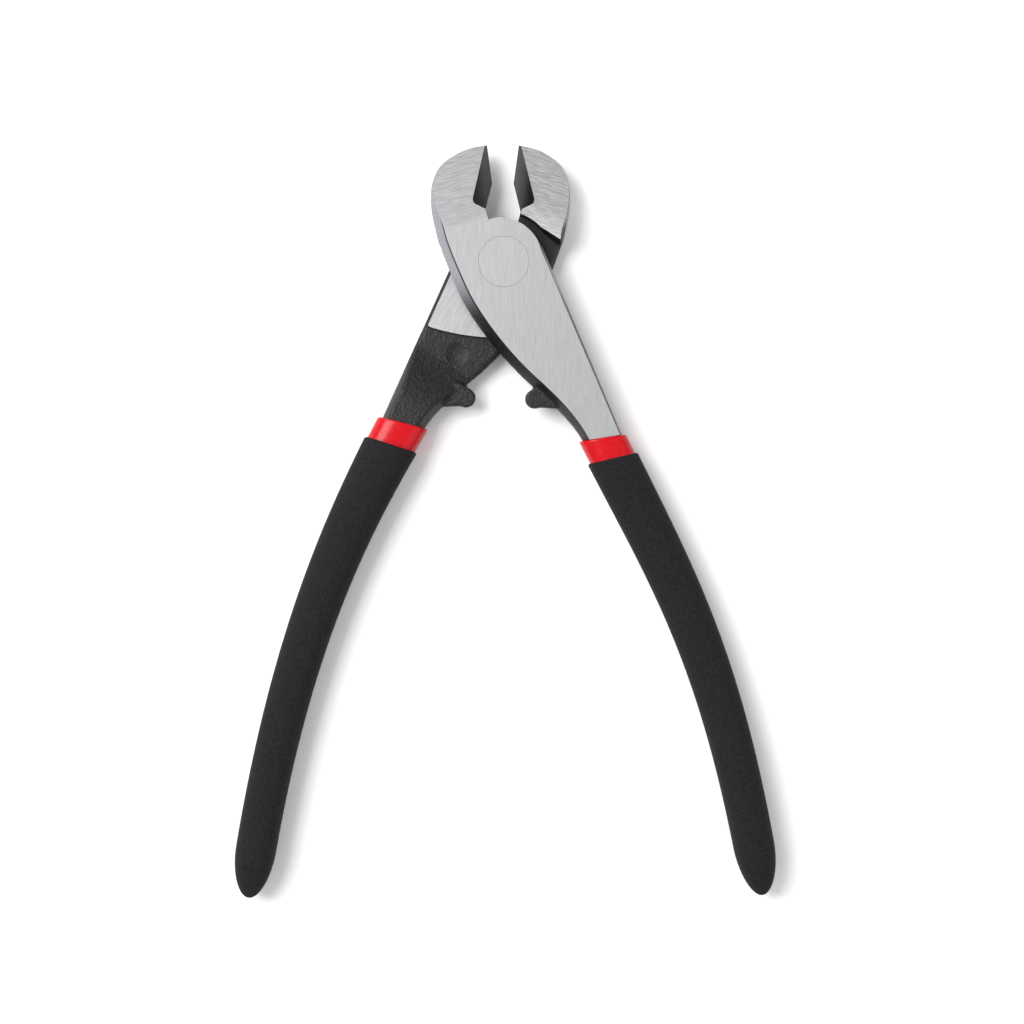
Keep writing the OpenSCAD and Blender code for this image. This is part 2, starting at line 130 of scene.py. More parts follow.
# The jaw's back as shares of its width and reach, and the shank's inner side as shares of its length and of
# the way from the shank's edge to the lap's. The third number is the share of the forging's draft.
back_shares = [(0.22, 0.993, 0.8), (0.44, 0.967, 0.8), (0.76, 0.877, 0.8), (0.94, 0.73, 0.9), (1, 0.52, 1),
               (0.975, 0.322, 1.1), (0.948, 0.205, 1.15), (0.866, 0.015, 1.2)]
inner_shares = [(0.065, 1.41, 1.25), (0.23, 1.35, 1.25), (0.394, 1.14, 1.2), (0.533, 0.86, 1.15),
                (0.648, 0.54, 1.05), (0.774, 0.23, 0.95), (0.9, 0.03, 0.8), (1, 0, 0.7), (1.08, 0, 0.7)]


def mix(a, b, t):
    """The value at a share t of the way from a to b."""
    return a + (b - a) * t


def smooth(t):
    """A soft step from 0 to 1."""
    t = min(max(t, 0), 1)
    return t * t * (3 - 2 * t)


def curve(points, steps=6):
    """A smooth curve through points."""
    pts = [np.array(p, float) for p in points]
    out = []
    for i in range(len(pts) - 1):
        a, b, c, d = (pts[min(max(k, 0), len(pts) - 1)] for k in (i - 1, i, i + 1, i + 2))
        for t in (k / steps for k in range(steps)):
            out.append(b + (c - a) * t / 2 + (2 * a - 5 * b + 4 * c - d) * t * t / 2
                       + (3 * b - a - 3 * c + d) * t ** 3 / 2)
    return out + [pts[-1]]


def inset(rows, scale, fixed=0.0):
    """An outline of x, y, draft rows, counterclockwise, drawn in by its draft times scale plus fixed."""
    rows = np.array([tuple(r) for r in rows], float)
    before, after = rows[:, :2] - np.roll(rows, 1, 0)[:, :2], np.roll(rows, -1, 0)[:, :2] - rows[:, :2]
    along = before / np.linalg.norm(before, axis=1)[:, None] + after / np.linalg.norm(after, axis=1)[:, None]
    along /= np.linalg.norm(along, axis=1)[:, None]
    return rows[:, :2] + np.stack([-along[:, 1], along[:, 0]], 1) * (rows[:, 2:3] * scale + fixed)


def solid(name, rings):
    """A closed solid through rings of points, each counterclockwise as seen from the next one."""
    n = len(rings[0])
    points = [tuple(float(v) for v in p) for ring in rings for p in ring]
    faces = [tuple(range(n))[::-1], tuple((len(rings) - 1) * n + k for k in range(n))]
    for i in range(len(rings) - 1):
        for k in range(n):
            a, b = i * n + k, i * n + (k + 1) % n
            faces.append((a, b, b + n, a + n))
    mesh = bpy.data.meshes.new(name)
    mesh.from_pydata(points, [], faces)
    obj = bpy.data.objects.new(name, mesh)
    scene.collection.objects.link(obj)
    return obj


def level(outline, z):
    """A flat ring at a height."""
    return [(p[0], p[1], z) for p in outline]


def slab(name, outline, low, high, mat=None):
    """A straight tool with a counterclockwise outline. Its faces leave their finish on what they cut."""
    obj = solid(name, [level(outline, low), level(outline, high)])
    if mat:
        obj.data.materials.append(mat)
    return obj


def circle(radius, x=0.0, y=0.0, count=180):
    return [(x + radius * math.cos(2 * math.pi * k / count), y + radius * math.sin(2 * math.pi * k / count))
            for k in range(count)]


def settled(obj):
    """The object with its modifiers applied and none left."""
    graph = bpy.context.evaluated_depsgraph_get()
    mesh = bpy.data.meshes.new_from_object(obj.evaluated_get(graph), depsgraph=graph)
    obj.modifiers.clear()
    obj.data = mesh
    return obj


def combine(body, tool, operation):
    """Cuts, joins or intersects a body with a tool, and puts the tool away."""
    step = body.modifiers.new(operation, "BOOLEAN")
    step.object, step.operation, step.solver = tool, operation, "MANIFOLD"
    step.material_mode = "TRANSFER"
    settled(body)
    bpy.data.objects.remove(tool)
    return body


def shank_point(angle, along, off):
    """A point so far along the shank from the pivot, and so far to the side."""
    s, c = math.sin(math.radians(angle)), math.cos(math.radians(angle))
    return (along * s - off * c, -along * c - off * s)


def outer_off(reach, width, outer_r, along):
    """How far the shank's outer edge, a line that touches the round lap, is from its middle, and its lean."""
    lean = math.asin(outer_r / math.hypot(reach, width / 2)) - math.atan(width / 2 / reach)
    return (along * math.sin(lean) - outer_r) / math.cos(lean), math.degrees(lean)


def lap_radius(degrees, flat):
    """The round lap has a flat of some depth on the shank's side, which fades out both ways."""
    return joint_r - flat * math.cos(math.radians(min(max((degrees - 18) * 90 / 70, -90), 90))) ** 2


def handle_curve(pts, t):
    """Place and heading on a handle's curve, which goes straight on before its start."""
    if t < 0:
        return pts[0] + (pts[1] - pts[0]) * 3 * t, pts[1] - pts[0]
    r = 1 - t
    place = r ** 3 * pts[0] + 3 * r ** 2 * t * pts[1] + 3 * r * t * t * pts[2] + t ** 3 * pts[3]
    heading = r ** 2 * (pts[1] - pts[0]) + 2 * r * t * (pts[2] - pts[1]) + t * t * (pts[3] - pts[2])
    return place, heading


def handle_points(reach, angle, end, headings, pulls):
    """The four points of a handle's curve: its start at the collar, two pulls on it, and its end. A pull is a
    share of the curve's span along a heading, in degrees from the closed pliers' axis."""
    start, end = np.array(shank_point(angle, reach, 0)), np.array(end)
    span = np.linalg.norm(end - start)
    unit = [np.array([math.sin(math.radians(h)), -math.cos(math.radians(h))]) for h in headings]
    return [start, start + pulls[0] * span * unit[0], end - pulls[1] * span * unit[1], end]


def forging(name, jaw_w, reach, angle, width, outer_r, flat, skin):
    """The forging before grinding: jaw, lap, shank and lug in one, with rounded edges and fillets."""
    back = [(-x * jaw_w, y * jaw_reach, d * jaw_draft) for x, y, d in back_shares]
    inner = [(s * reach, mix(width / 2, joint_r, o), d * inner_draft) for s, o, d in inner_shares]
    end_off, lean = outer_off(reach, width, outer_r, inner[-1][0])
    touch = math.radians(angle - lean)
    disc = [(outer_r * math.cos(touch), outer_r * math.sin(touch), outer_draft)]
    for a in np.linspace(angle - lean + 8, 84, 36):
        r = lap_radius(a, flat)
        disc.append((r * math.cos(math.radians(a)), r * math.sin(math.radians(a)), disc_draft))
    stock_x = 2.5  # past the cutting edge, ground off again
    stub = [(stock_x, crotch[1], 0), (stock_x, jaw_reach, 0)]
    outline = (stub[1:] + curve(back + [(*shank_point(angle, a, o), d) for a, o, d in inner])
               + [(*shank_point(angle, inner[-1][0], end_off), outer_draft)] + disc + stub[:1])
    # The upper half, from the rim above the lap to the face, and the jaw's lower half
    deep, full_z = half_t + grind_stock, lap_z + lap_edge + 0.3
    rim = [level(inset(outline, 0, lap_edge), lap_z + pad_step), level(inset(outline, 0), full_z)]
    parts = [solid(name, rim + [level(inset(outline, (t * deep / half_t) ** 1.2), mix(full_z, deep, t))
                                for t in (0.25, 0.5, 0.75, 1)])]
    corner = back[6]
    block = (stub[1:] + [p for p in curve(back) if p[1] > corner[1] + jaw_draft]
             + [corner, (*shoulder_turn, 0), (stock_x, shoulder_turn[1], 0)])
    parts.append(solid("lower", [level(inset(block, under_share * (t * deep / half_t) ** 1.2), -t * deep)
                                 for t in (1, 0.75, 0.5, 0.25)]
                       + [level(inset(block, 0), 0), level(inset(block, 0), 1), level(inset(block, 1), 2)]))
    # The pad of the lap, which ends in a wide bow across the shank
    bow_r, bow_x, bow_end = 60, 6.5, -19.7
    parts.append(combine(slab("pad", inset(outline, 0, lap_edge + 0.2), lap_z - 0.5, 2),
                         slab("bow", circle(bow_r, bow_x, bow_r + bow_end, 400), -clear, clear), "INTERSECT"))
    # The shank swells to its full thickness below the lap
    rings, hidden_z = [], 2.15
    for along, high, _ in curve(inner, 8):
        if along > swell_from:
            t = smooth((along - swell_from) / swell_run)
            depth = mix(lap_z - lap_edge, swell_deep, t)
            waist, low = mix(lap_edge, -depth, 0.4), outer_off(reach, width, outer_r, along)[0]
            grown = max(0, depth) / swell_deep
            di, do = grown * mix(inner_draft, neck_draft, t), grown * outer_draft
            rings.append([(*shank_point(angle, along, o), z) for z, o in (
                (-depth, low + do + lap_edge / 2), (-depth, high - di - lap_edge / 2), (waist, high - di / 4),
                (lap_edge, high), (hidden_z, high - lap_edge / 2), (hidden_z, low + lap_edge / 2),
                (lap_edge, low), (waist, low + do / 4))])
    parts.append(solid("swell", rings))
    lug = [shank_point(angle, lug_along + lug_r * math.cos(a), lug_off + lug_r * math.sin(a))
           for a in np.linspace(0, math.pi, 14)]
    lug += [shank_point(angle, lug_along + a, o) for a, o in ((-lug_r, 6.5), (5, 4.5), (5, 6.65))]
    parts.append(slab("lug", lug[::-1], lug_low, lug_high))
    body = parts[0]
    for part in parts[1:]:
        combine(body, part, "UNION")
    rounding = body.modifiers.new("rounding", "REMESH")
    rounding.mode, rounding.voxel_size, rounding.use_smooth_shade = "VOXEL", 0.3, True
    soften = body.modifiers.new("soften", "SMOOTH")
    soften.factor, soften.iterations = 0.5, 14
    settled(body)
    body.data.materials.clear()
    body.data.materials.append(skin)
    return body


def tang(width, pts):
    """The tang inside the dips: a tapered bar along the handle's curve, with a blunt end."""
    span = np.linalg.norm(pts[3] - pts[0])
    places = list(np.linspace(-5 / span, tang_end - 4 / span, 24))
    rings = []
    for t in places + [tang_end - 2.4 / span, tang_end - 1 / span, tang_end]:
        c, h = handle_curve(pts, t)
        h = h / np.linalg.norm(h)
        s, over = max(0, t) / tang_end, max(0, 1 - (tang_end - t) * span / 4)
        blunt = math.sqrt(1 - 0.7 * over ** 2)
        a, b = mix(width / 2 - tang_inset, tang_w_end, s) * blunt, mix(tang_t_start, tang_t_end, s) * blunt
        lift = mix(tang_lift, 0, smooth(4 * s))
        ring = []
        for w in np.linspace(0, 2 * math.pi, 33)[:-1]:
            o = a * math.copysign(abs(math.sin(w)) ** (2 / tang_square), math.sin(w))
            up = b * math.copysign(abs(math.cos(w)) ** (2 / tang_square), math.cos(w))
            ring.append((c[0] + o * h[1], c[1] - o * h[0], lift + up))
        rings.append(ring)
    return solid("tang", rings)


def square(reach):
    """A square round the pivot, reach to each side."""
    return [(-reach, -reach), (reach, -reach), (reach, reach), (-reach, reach)]


def arc(radius, start, end, count, x=0.0, y=0.0):
    """Points on a part of a circle between two angles in degrees."""
    return [(x + radius * math.cos(a), y + radius * math.sin(a))
            for a in np.linspace(math.radians(start), math.radians(end), count)]


def mirror(tool):
    """Turns a tool over to the other side of the middle plane."""
    tool.data.transform(Matrix.Diagonal((1, 1, -1, 1)))
    tool.data.flip_normals()


def ground(body, dip_start, dip_angle, mats):
    """Grinds and machines the forging: lap, recess, face, jaw faces, bevels and bore, and trims the neck."""
    face_mat, turn_mat, jaw_mat, bevel_mat, pad_mat, recess_mat = mats
    # The lap and its pad, and the round recess under the jaw that the other lever turns in
    combine(body, slab("recess", circle(shoulder_r), -clear, lap_z, recess_mat), "DIFFERENCE")
    combine(body, slab("lap_cut", arc(27, 195, 375, 90), -clear, lap_z, pad_mat), "DIFFERENCE")
    waist_cut = [(-22, -8), (-7, -8), (-7, 10), (-8.4, 10), (-13.6, 6.1), (-22, 6.1)]
    combine(body, slab("waist_cut", waist_cut, -clear, lap_z, recess_mat), "DIFFERENCE")
    # Side of the jaw along the gap, from its foot to the end of the cutting edge
    gap = [(30, 11), *arc(joint_r, 70, 102.6, 12), crotch, (-edge_gap, jaw_reach - edge_len),
           (-edge_gap, 60), (30, 60)]
    combine(body, slab("gap", gap[::-1], -clear, clear, recess_mat), "DIFFERENCE")
    combine(body, slab("face", square(90), half_t, through, face_mat), "DIFFERENCE")
    combine(body, slab("underside", square(90), -through, -half_t, jaw_mat), "DIFFERENCE")
    # The jaw's face falls away to a thin tip, and the edge's bevel has a rounded corner
    fall_turn, tip_t, soft_run, soft_steps = math.radians(10), 0.45, 3.4, 8
    run = (jaw_reach - crotch[1]) * math.cos(fall_turn) + crotch[0] * math.sin(fall_turn)
    slope = math.atan((half_t - tip_t) / run)
    tilt, bevel_w, corner_r, bevel_slope = math.radians(34), 5.75, 1.3, math.radians(36)
    foot = (crotch[0], crotch[1] + 0.1)
    corner_x = corner_r - bevel_w
    corner_y = foot[1] + (foot[0] - corner_x) * math.tan(tilt) + corner_r / math.cos(tilt)
    plan = [(foot[0] + corner_r * math.cos(tilt), foot[1] - corner_r * math.sin(tilt)), (40, foot[1]),
            (40, 70), (-bevel_w, 70), *arc(corner_r, 180, 236, 12, corner_x, corner_y)]
    for side in (1, -1):
        # The grinding wheel leaves a short soft turn at the foot of the jaw's face
        for share in np.linspace(1 / soft_steps, 1, soft_steps):
            wheel = slab("wheel", square(40), 0, 40, turn_mat if share < 1 else jaw_mat)
            wheel.data.transform(
                Matrix.Translation((*crotch, half_t)) @ Matrix.Rotation(fall_turn, 4, "Z")
                @ Matrix.Translation((0, soft_run * (share - 1), 0))
                @ Matrix.Rotation(-slope * share, 4, "X"))
            if side < 0:
                mirror(wheel)
            combine(body, wheel, "DIFFERENCE")
        pocket = slab("pocket", plan, -through, through, bevel_mat)
        wedge = slab("wedge", [(-40, -40), (40, -40), (40, 90), (-40, 90)], 0, 40, bevel_mat)
        wedge.data.transform(Matrix.Translation((-edge_gap, 0, 0)) @ Matrix.Rotation(bevel_slope, 4, "Y"))
        combine(pocket, wedge, "INTERSECT")
        if side < 0:
            mirror(pocket)
        combine(body, pocket, "DIFFERENCE")
    combine(body, slab("bore", circle(bore_r), -through, through, recess_mat), "DIFFERENCE")
    combine(body, slab("head_bore", circle(head_r), half_t - head_deep, through, recess_mat), "DIFFERENCE")
    # The neck ends just inside the dipped handle, where the tang goes on
    end_cut = slab("end_cut", [(-60, -200), (60, -200), (60, 0), (-60, 0)], -30, 30)
    end_cut.data.transform(Matrix.Translation((dip_start[0], dip_start[1] + 0.05, 0))
                           @ Matrix.Rotation(math.radians(dip_angle), 4, "Z"))
    return combine(body, end_cut, "DIFFERENCE")


def placed(piece, turned_over):
    """Opens the lever to its rest angle, turns the rear one over, and lays it down in metres."""
    over = Matrix.Rotation(math.pi, 4, "Y") if turned_over else Matrix.Identity(4)
    piece.data.transform(Matrix.Scale(0.001, 4) @ Matrix.Translation((0, 0, half_t)) @ over
                         @ Matrix.Rotation(math.radians(half_open), 4, "Z"))
    return piece


def principled(name, colour, roughness, metallic=0.0, specular=0.5):
    """A material of one colour, with its tree and its shader."""
    mat = bpy.data.materials.new(name)
    mat.use_nodes = True
    bsdf = mat.node_tree.nodes["Principled BSDF"]
    bsdf.inputs["Base Color"].default_value = (*colour, 1)
    bsdf.inputs["Roughness"].default_value = roughness
    bsdf.inputs["Metallic"].default_value = metallic
    bsdf.inputs["Specular IOR Level"].default_value = specular
    return mat, mat.node_tree, bsdf


def grind_marks(name, colour, angle, length, width, contrast=0.3, bump=0.00002, roughness=0.5, fade=None):
    """Ground steel: long fine strokes at an angle, a little uneven in tone. fade is a heading, the two places
    along it in metres, and the colour, angle, length and width that the strokes run into between them; that
    colour paints light and shade onto the steel."""
    mat, tree, bsdf = principled(name, colour, roughness, 1.0)
    nodes, links = tree.nodes, tree.links
    place = nodes.new("ShaderNodeTexCoord")

    def strokes(degrees, long, wide):
        turn = nodes.new("ShaderNodeMapping")
        turn.inputs["Rotation"].default_value = (0, 0, -math.radians(degrees))
        stretch = nodes.new("ShaderNodeMapping")
        stretch.inputs["Scale"].default_value = (1000 / long, 1000 / wide, 300)
        noise = nodes.new("ShaderNodeTexNoise")
        noise.inputs["Scale"].default_value = 1.0
        noise.inputs["Detail"].default_value = 6
        noise.inputs["Roughness"].default_value = 0.7
        links.new(place.outputs["Object"], turn.inputs["Vector"])
        links.new(turn.outputs[0], stretch.inputs["Vector"])
        links.new(stretch.outputs[0], noise.inputs["Vector"])
        return noise.outputs["Fac"]

    marks = strokes(angle, length, width)
    shade = nodes.new("ShaderNodeVectorMath")
    shade.operation = "SCALE"
    shade.inputs[0].default_value = colour
    if fade:
        heading, start, end, painted_tone, *second_marks = fade
        across = nodes.new("ShaderNodeVectorMath")
        across.operation = "DOT_PRODUCT"
        across.inputs[1].default_value = (math.cos(math.radians(heading)), math.sin(math.radians(heading)), 0)
        past = nodes.new("ShaderNodeMapRange")
        past.interpolation_type = "SMOOTHSTEP"
        past.inputs["From Min"].default_value, past.inputs["From Max"].default_value = start, end
        both = nodes.new("ShaderNodeMix")
        painted_light_mix = nodes.new("ShaderNodeMix")
        painted_light_mix.data_type = "RGBA"
        painted_light_mix.inputs[6].default_value, painted_light_mix.inputs[7].default_value = (*colour, 1), (*painted_tone, 1)
        links.new(place.outputs["Object"], across.inputs[0])
        links.new(across.outputs["Value"], past.inputs["Value"])
        links.new(past.outputs[0], both.inputs[0])
        links.new(past.outputs[0], painted_light_mix.inputs[0])
        links.new(marks, both.inputs[2])
        links.new(strokes(*second_marks), both.inputs[3])
        links.new(painted_light_mix.outputs[2], shade.inputs[0])
        marks = both.outputs[0]
    tone = nodes.new("ShaderNodeMapRange")
    tone.inputs["From Min"].default_value, tone.inputs["From Max"].default_value = 0.3, 0.7
    tone.inputs["To Min"].default_value, tone.inputs["To Max"].default_value = 1 - contrast, 1 + contrast
    rise = nodes.new("ShaderNodeBump")
    rise.inputs["Strength"].default_value = 0.5
    rise.inputs["Distance"].default_value = bump
    links.new(marks, tone.inputs["Value"])
    links.new(tone.outputs[0], shade.inputs["Scale"])
    links.new(shade.outputs[0], bsdf.inputs["Base Color"])
    links.new(marks, rise.inputs["Height"])
    links.new(rise.outputs[0], bsdf.inputs["Normal"])
    return mat


def coated(name, colour, roughness, specular, peel_size, peel_height, contrast):
    """A skin or a dipped coat with an orange peel, sized in mm, and a little uneven in shine and tone."""
    mat, tree, bsdf = principled(name, colour, roughness, 0.0, specular)
    nodes, links = tree.nodes, tree.links
    place = nodes.new("ShaderNodeTexCoord")
    peel = nodes.new("ShaderNodeTexNoise")
    peel.inputs["Scale"].default_value = 1000 / peel_size
    peel.inputs["Detail"].default_value = 4
    peel.inputs["Roughness"].default_value = 0.6
    rise = nodes.new("ShaderNodeBump")
    rise.inputs["Strength"].default_value = 0.7
    rise.inputs["Distance"].default_value = peel_height / 1000
    shade = nodes.new("ShaderNodeVectorMath")
    shade.name, shade.operation = "shade", "SCALE"
    shade.inputs[0].default_value = colour
    links.new(place.outputs["Object"], peel.inputs["Vector"])
    links.new(peel.outputs["Fac"], rise.inputs["Height"])
    links.new(rise.outputs[0], bsdf.inputs["Normal"])
    for low, high, socket in ((roughness - 0.06, roughness + 0.08, bsdf.inputs["Roughness"]),
                              (1 - contrast, 1 + contrast, shade.inputs["Scale"])):
        spread = nodes.new("ShaderNodeMapRange")
        spread.inputs["From Min"].default_value, spread.inputs["From Max"].default_value = 0.3, 0.7
        spread.inputs["To Min"].default_value, spread.inputs["To Max"].default_value = low, high
        links.new(peel.outputs["Fac"], spread.inputs["Value"])
        links.new(spread.outputs[0], socket)
    links.new(shade.outputs[0], bsdf.inputs["Base Color"])
    return mat


def skin_with_painted_wall_sheen(name, fade_low, fade_high):
    """Black oxide over the forging, with a painted reflection of light from above in grey on the jaw's walls,
    and a painted dark line left black just under the face, where the rounded edge reflects dark.
    The painted grey fades in between two heights along the pliers, in metres."""
    mat = coated(name, (0.006, 0.006, 0.007), roughness=0.36, specular=0.36,
                 peel_size=0.75, peel_height=0.45, contrast=0.95)
    nodes, links = mat.node_tree.nodes, mat.node_tree.links
    place = nodes.new("ShaderNodeTexCoord")
    apart = nodes.new("ShaderNodeSeparateXYZ")
    links.new(place.outputs["Object"], apart.inputs[0])
    # The grey on the walls is a painted reflection of light, and the band just under the face stays black as
    # a painted dark line
    along, below_dark_rim = nodes.new("ShaderNodeMapRange"), nodes.new("ShaderNodeMapRange")
    along.interpolation_type = below_dark_rim.interpolation_type = "SMOOTHSTEP"
    along.inputs["From Min"].default_value, along.inputs["From Max"].default_value = fade_low, fade_high
    below_dark_rim.inputs["From Min"].default_value, below_dark_rim.inputs["From Max"].default_value = 0.0102, 0.0098
    links.new(apart.outputs["Y"], along.inputs["Value"])
    links.new(apart.outputs["Z"], below_dark_rim.inputs["Value"])
    # Where the painted grey reflection goes: along the jaw, and below the painted dark line
    painted_sheen = nodes.new("ShaderNodeMath")
    painted_sheen.operation = "MULTIPLY"
    links.new(along.outputs[0], painted_sheen.inputs[0])
    links.new(below_dark_rim.outputs[0], painted_sheen.inputs[1])
    painted_light_mix = nodes.new("ShaderNodeMix")
    painted_light_mix.data_type = "RGBA"
    painted_light_mix.inputs[7].default_value = (0.27, 0.265, 0.29, 1)
    links.new(painted_sheen.outputs[0], painted_light_mix.inputs[0])
    links.new(nodes["shade"].outputs[0], painted_light_mix.inputs[6])
    links.new(painted_light_mix.outputs[2], nodes["Principled BSDF"].inputs["Base Color"])
    return mat


# One ground steel, toned per face: the left jaw is darker as painted shade and the right jaw lighter as
# painted light, for how each tilted face catches the light. The front face fades into the left jaw's painted
# shade across the soft turn.
front_face_steel = grind_marks("front_ground_face", (0.43, 0.43, 0.438), angle=88, length=6, width=0.2,
                               contrast=0.16,
                               fade=(107.6, 0.0106, 0.0140, (0.315, 0.315, 0.322), 16, 4, 0.3))
left_jaw_steel_painted_shade = grind_marks("ground_left_jaw", (0.34, 0.34, 0.347), angle=16, length=4, width=0.3)
# The left bevel's dark tone lightens toward the cutting edge: a painted shade gradient
left_bevel_steel_painted_shade = grind_marks("left_bevel", (0.04, 0.039, 0.043), angle=75, length=5, width=0.25,
                               roughness=0.38,
                               fade=(7.6, -0.0050, -0.0005, (0.13, 0.128, 0.135), 75, 5, 0.25))
pad_steel = grind_marks("ground_pad", (0.445, 0.445, 0.453), angle=62, length=5, width=0.22, contrast=0.22)
recess_steel = coated("recess_steel", (0.010, 0.010, 0.011), roughness=0.5, specular=0.35,
                      peel_size=0.4, peel_height=0.02, contrast=0.4)
# Black oxide, with a painted grey reflection and a painted dark line on the left jaw's walls
front_skin = skin_with_painted_wall_sheen("front_skin", -0.015, -0.003)


def finished(piece):
    """Smooth walls, sharp ground edges, and flat faces that stay flat up to a soft turn beside them."""
    piece.data.polygons.foreach_set("use_smooth", [True] * len(piece.data.polygons))
    piece.data.set_sharp_from_angle(angle=math.radians(26))
    even = piece.modifiers.new("even", "WEIGHTED_NORMAL")
    even.keep_sharp = True
    return settled(piece)


front_reach, front_angle, front_width = 52.3, 22.1, 9.9
front_pts = handle_points(front_reach, front_angle, end=(45.5, -172.8), headings=(18.9, 1.7),
                          pulls=(0.311, 0.511))
front = forging("front_forging", 16.6, front_reach, front_angle, front_width, outer_r=11.1, flat=0.85,
                skin=front_skin)
ground(front, front_pts[0], 1.4,
       (front_face_steel, front_face_steel, left_jaw_steel_painted_shade, left_bevel_steel_painted_shade, pad_steel, recess_steel))
combine(front, tang(front_width, front_pts), "UNION")
finished(placed(front, False))
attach(front, "front_half")
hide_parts("front_lever")

# Rear lever: the same forging turned over, so that its lap and the inner side of its shank are seen.
# The lap is ground bright as a bearing face, and below it the forging keeps its black skin.
# The right jaw's lighter tone is painted light on the tilted jaw; the direction of its strokes is its own
# grinding.
right_jaw_steel_painted_light = grind_marks("ground_right_jaw", (0.485, 0.485, 0.495), angle=-17, length=4, width=0.3,
                              contrast=0.4, bump=0.00003)
# The right bevel's dark tone lightens toward the cutting edge: a painted shade gradient
right_bevel_steel_painted_shade = grind_marks("right_bevel", (0.008, 0.008, 0.009), angle=105, length=5, width=0.25,
                                roughness=0.46,
                                fade=(172.4, -0.0050, -0.0005, (0.065, 0.063, 0.068), 105, 5, 0.25))
face_steel = grind_marks("ground_face", (0.44, 0.44, 0.448), angle=88, length=6, width=0.2, contrast=0.16)
# Black oxide, with a painted grey reflection and a painted dark line on the right jaw's walls
rear_skin = skin_with_painted_wall_sheen("rear_skin", 0.0085, 0.0115)
rear_reach, rear_angle, rear_width = 49.4, 24.3, 11.0
rear_pts = handle_points(rear_reach, rear_angle, end=(43.6, -172.4), headings=(21.9, 0.6),
                         pulls=(0.247, 0.483))
rear = forging("rear_forging", 15.4, rear_reach, rear_angle, rear_width, outer_r=12.1, flat=0.0,
               skin=rear_skin)
ground(rear, rear_pts[0], 8,
       (face_steel, right_jaw_steel_painted_light, right_jaw_steel_painted_light, right_bevel_steel_painted_shade, pad_steel, recess_steel))
combine(rear, tang(rear_width, rear_pts), "UNION")
placed(rear, True)
# A shallow round dish that the forging die leaves on the shank
dish_r, dish_deep, dish_above = 3.1, 0.55, (-0.0119, -0.0236, 0.05)
dimple = solid("dimple", [level(circle(r), dish_deep * ((r / dish_r) ** 2 - 1))
                          for r in (0.2, 0.8, 1.4, 2.0, 2.5, 2.9, 3.3, 3.9, 5.0)])
spot, lie = rear.ray_cast(dish_above, (0, 0, -1))[1:3]
dimple.data.transform(Matrix.Translation(spot) @ lie.to_track_quat("Z", "Y").to_matrix().to_4x4()
                      @ Matrix.Scale(0.001, 4))
dimple.data.materials.append(rear_skin)
combine(rear, dimple, "DIFFERENCE")
finished(rear)
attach(rear, "rear_half")
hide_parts("rear_lever")

# Pivot rivet: a turned steel rivet, pressed through both laps and ground flush with each face,
# so that only a fine circle shows.
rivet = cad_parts["pivot_rivet"]
rivet.data.materials.clear()
rivet.data.materials.append(face_steel)

# Sleeves: each tang is dipped in red PVC, which shows as a glossy collar above the grip. The first dip
# runs down the whole tang, and drains to a rounded lip where it began.
dip_wall = 1.3


